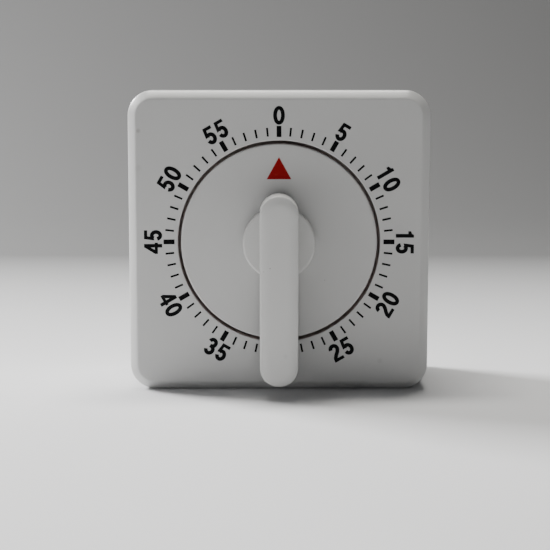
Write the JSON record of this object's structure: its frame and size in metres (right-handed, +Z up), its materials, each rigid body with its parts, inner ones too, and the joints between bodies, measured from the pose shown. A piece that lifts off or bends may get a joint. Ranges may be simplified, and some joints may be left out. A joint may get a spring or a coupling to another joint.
{
  "type": "mechanical_timer",
  "caption": "White square bench timer with a lever-turned dial over a minute scale, with its wheel train, escapement and bell inside the case.",
  "frame": {"origin": "middle of the footprint on the surface the case stands on, halfway between the lever's front and the back of the case", "axes": "+Z up, +X to the right of the user, -Y towards the user, along the dial axis"},
  "size_m": [0.076, 0.048, 0.076],
  "materials": {
    "case_plastic": "moulded",
    "dial_plastic": "moulded",
    "brass": "satin",
    "bright_steel": "brushed",
    "zinc_screws": "zinc plated",
    "spring_steel": "blued",
    "bell_nickel": "nickel plated"
  },
  "bodies": {
    "root": {"front_case": "case_plastic", "rear_cover": "case_plastic", "cover_screws": "zinc_screws", "movement_screws": "zinc_screws", "front_plate": "brass", "rear_plate": "brass", "plate_pillars": "bright_steel", "plate_screws": "zinc_screws", "arbor_bush": "brass", "spring_post": "bright_steel", "mainspring": "spring_steel", "bell": "bell_nickel", "bell_stud": "bright_steel", "bell_screw": "zinc_screws", "hairspring": "spring_steel", "hairspring_stud": "bright_steel", "hammer_spring": "spring_steel", "release_pivot": "bright_steel", "release_spring": "spring_steel"},
    "dial": {"dial_disc": "dial_plastic", "handle": "dial_plastic", "main_arbor": "bright_steel", "release_cam": "brass", "clutch_washer": "spring_steel", "main_wheel": "brass", "ratchet_wheel": "bright_steel", "click_pin": "bright_steel", "click_spring": "spring_steel", "arbor_clip": "bright_steel"},
    "click_body": {"click": "bright_steel"},
    "second_body": {"second_wheel": "brass", "second_pinion": "bright_steel"},
    "third_body": {"third_wheel": "brass", "third_pinion": "bright_steel"},
    "escape_body": {"escape_wheel": "brass", "escape_pinion": "bright_steel"},
    "pallet_body": {"pallet_lever": "bright_steel", "pallet_arbor": "bright_steel"},
    "balance_body": {"balance_wheel": "brass", "balance_staff": "bright_steel", "balance_roller": "brass"},
    "strike_body": {"strike_wheel": "brass", "strike_pinion": "bright_steel"},
    "hammer_body": {"hammer": "bright_steel", "hammer_arbor": "bright_steel", "hammer_tail": "brass"},
    "release_body": {"release_lever": "bright_steel"}
  },
  "joints": [
    {"name": "dial_turn", "type": "hinge", "parent": "root", "child": "dial", "pos_m": [0, 0.004, 0.038], "axis": [0, 1, 0], "range_deg": [0, 354], "deforming": ["mainspring"]},
    {"name": "click_rock", "type": "hinge", "parent": "dial", "child": "click_body", "pos_m": [0.0086, 0.004, 0.038], "axis": [0, 1, 0], "range_deg": [0, 10], "deforming": ["click_spring"]},
    {"name": "second_turn", "type": "hinge", "parent": "root", "child": "second_body", "pos_m": [-0.01532, 0.004, 0.02727], "axis": [0, 1, 0], "continuous": true},
    {"name": "third_turn", "type": "hinge", "parent": "root", "child": "third_body", "pos_m": [-0.00722, 0.004, 0.01762], "axis": [0, 1, 0], "continuous": true},
    {"name": "escape_turn", "type": "hinge", "parent": "root", "child": "escape_body", "pos_m": [0.00398, 0.004, 0.01762], "axis": [0, 1, 0], "continuous": true},
    {"name": "pallet_rock", "type": "hinge", "parent": "root", "child": "pallet_body", "pos_m": [0.0115, 0.004, 0.0156], "axis": [0, 1, 0], "range_deg": [-6, 6]},
    {"name": "balance_swing", "type": "hinge", "parent": "root", "child": "balance_body", "pos_m": [0.0192, 0.004, 0.0192], "axis": [0, 1, 0], "range_deg": [-140, 140], "deforming": ["hairspring"]},
    {"name": "strike_turn", "type": "hinge", "parent": "root", "child": "strike_body", "pos_m": [0.01202, 0.004, 0.05233], "axis": [0, 1, 0], "continuous": true},
    {"name": "hammer_swing", "type": "hinge", "parent": "root", "child": "hammer_body", "pos_m": [0.0134, 0.004, 0.0602], "axis": [0, 1, 0], "range_deg": [-6, 2.7], "deforming": ["hammer_spring"]},
    {"name": "release_drop", "type": "hinge", "parent": "root", "child": "release_body", "pos_m": [-0.0135, 0.004, 0.054], "axis": [0, 1, 0], "range_deg": [0, 4.5]}
  ],
  "couplings": [
    {"joint": "second_turn", "follows": "dial_turn", "ratio": -7.5},
    {"joint": "third_turn", "follows": "dial_turn", "ratio": 45},
    {"joint": "escape_turn", "follows": "dial_turn", "ratio": -270},
    {"joint": "strike_turn", "follows": "dial_turn", "ratio": -7.5}
  ]
}
